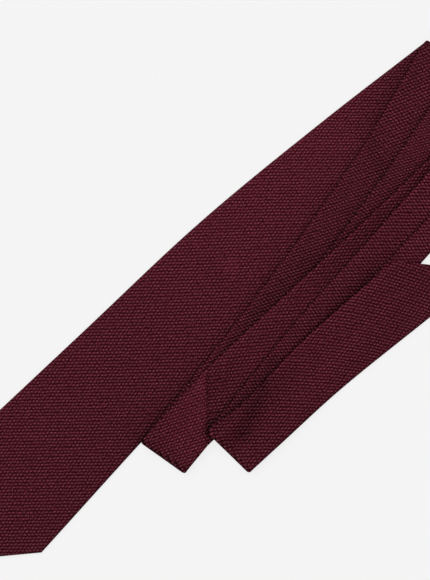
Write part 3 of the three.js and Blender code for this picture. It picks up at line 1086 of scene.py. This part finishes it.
class TieSettings(PropertyGroup):
    cloth: PointerProperty(type=ClothSettings)
    stitches: PointerProperty(type=StitchSettings)
    stage: PointerProperty(type=StageSettings)


def make_strip(context, part, runs):
    """A strip of the tie, in the frame in place of its CAD node."""
    piece = closed_strip(f"{part}_cloth", runs, make_outlines())
    cloth = context.scene.grenadine_tie.cloth
    piece.data.materials.append(silk_material(f"Grenadine silk, {part}", cloth))
    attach(piece, "root")
    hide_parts(f"{part}_section")
    return {"FINISHED"}


class TIE_OT_blade_section(Operator):
    """Make the wide blade with its tip, the first length back and the cloth up to the join seam"""

    bl_idname = "tie.blade_section"
    bl_label = "Blade section"

    def execute(self, context):
        return make_strip(context, "blade", blade_runs())


class TIE_OT_tail_section(Operator):
    """Make the cloth past the join seam, the second length back and the narrow tail with its tip"""

    bl_idname = "tie.tail_section"
    bl_label = "Tail section"

    def execute(self, context):
        return make_strip(context, "tail", tail_runs())


class TIE_OT_seam_stitches(Operator):
    """Sew the slip stitches along both back seams"""

    bl_idname = "tie.seam_stitches"
    bl_label = "Seam stitches"

    def execute(self, context):
        settings = context.scene.grenadine_tie.stitches
        material = thread_material("Sewing thread", settings)
        for name, runs, slot in (
            ("blade_stitches", blade_runs(), "grenadine_silk"),
            ("tail_stitches", tail_runs(), "grenadine_silk_tail"),
        ):
            piece = stitched(name, runs, settings, material)
            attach(piece, "root")
        return {"FINISHED"}


def soft_light(name, strength, heading, tilt, spread):
    """Wide even light. Its heading is where it comes from, seen from above, from +X."""
    lamp = bpy.data.lights.new(name, "SUN")
    lamp.energy = strength
    lamp.angle = spread
    holder = linked(name, lamp)
    holder.location = (LAMP_REACH * math.cos(heading), LAMP_REACH * math.sin(heading), LAMP_HEIGHT)
    holder.rotation_euler = (tilt, 0, heading + math.pi / 2)


def seen_and_given(tree, seen, given):
    """One value for what the camera sees, and another for the light that falls on things."""
    path = wire(tree, "ShaderNodeLightPath")["Is Camera Ray"]
    return calc(tree, "MULTIPLY_ADD", path, seen - given, given)


class TIE_OT_stage(Operator):
    """Make the pale floor, the soft light and the camera over the tie"""

    bl_idname = "tie.stage"
    bl_label = "Stage"

    frame_centre = (-16.62 * MM, 6.68 * MM)
    frame_height = 348 * MM
    floor_reach = 4.0
    key_tilt = math.radians(32)
    key_spread = math.radians(50)
    overhead_spread = math.radians(90)

    def execute(self, context):
        settings = context.scene.grenadine_tie.stage
        self.make_floor(settings)
        self.make_light(context, settings)
        self.make_camera(context, settings)
        context.scene.view_settings.view_transform = "Standard"
        return {"FINISHED"}

    def make_floor(self, settings):
        mesh = bpy.data.meshes.new("floor")
        reach = self.floor_reach
        corners = [(-reach, -reach, 0), (reach, -reach, 0), (reach, reach, 0), (-reach, reach, 0)]
        mesh.from_pydata(corners, [], [(0, 1, 2, 3)])
        material, tree, shader = new_material("Pale floor")
        looks = {
            "Base Color": (*settings.floor_colour, 1),
            "Roughness": 0.9,
            "Specular IOR Level": 0.0,
            "Emission Color": (1, 1, 1, 1),
            "Emission Strength": seen_and_given(tree, settings.floor_glow, settings.floor_bounce),
        }
        plug(tree, shader, looks)
        mesh.materials.append(material)
        linked("floor", mesh)

    def make_light(self, context, settings):
        world = bpy.data.worlds.new("Surround")
        world.use_nodes = True
        tree = world.node_tree
        shown = seen_and_given(tree, settings.backdrop, settings.surround)
        looks = {"Color": (1, 1, 1, 1), "Strength": shown}
        plug(tree, tree.nodes["Background"].inputs, looks)
        context.scene.world = world
        soft_light("key", settings.key, LIGHT_HEADING, self.key_tilt, self.key_spread)
        soft_light("overhead", settings.overhead, 0.0, 0.0, self.overhead_spread)

    def make_camera(self, context, settings):
        data = bpy.data.cameras.new("camera")
        data.sensor_width = 36.0
        data.lens = data.sensor_width * settings.camera_height / self.frame_height
        data.clip_start = 0.05
        data.clip_end = 50.0
        camera = linked("camera", data)
        camera.location = (*self.frame_centre, settings.camera_height)
        context.scene.camera = camera


class TIE_PT_sidebar(Panel):
    """The tie's pieces, in the order in which they are made"""

    bl_label = "Grenadine Tie"
    bl_idname = "TIE_PT_sidebar"
    bl_space_type = "VIEW_3D"
    bl_region_type = "UI"
    bl_category = "Tie"

    def draw(self, context):
        settings = context.scene.grenadine_tie
        for title, group, operators in (
            ("Cloth", settings.cloth, ("tie.blade_section", "tie.tail_section")),
            ("Stitches", settings.stitches, ("tie.seam_stitches",)),
            ("Stage", settings.stage, ("tie.stage",)),
        ):
            box = self.layout.box()
            box.label(text=title)
            for name in group.__annotations__:
                box.prop(group, name)
            for operator in operators:
                box.operator(operator)


CLASSES = (
    ClothSettings,
    StitchSettings,
    StageSettings,
    TieSettings,
    TIE_OT_blade_section,
    TIE_OT_tail_section,
    TIE_OT_seam_stitches,
    TIE_OT_stage,
    TIE_PT_sidebar,
)


def register():
    for cls in CLASSES:
        bpy.utils.register_class(cls)
    bpy.types.Scene.grenadine_tie = PointerProperty(type=TieSettings)


def unregister():
    del bpy.types.Scene.grenadine_tie
    for cls in reversed(CLASSES):
        bpy.utils.unregister_class(cls)


def main():
    register()
    bpy.ops.tie.blade_section()
    bpy.ops.tie.tail_section()
    bpy.ops.tie.seam_stitches()
    bpy.ops.tie.stage()
    bpy.context.view_layer.update()


if __name__ == "__main__":
    main()
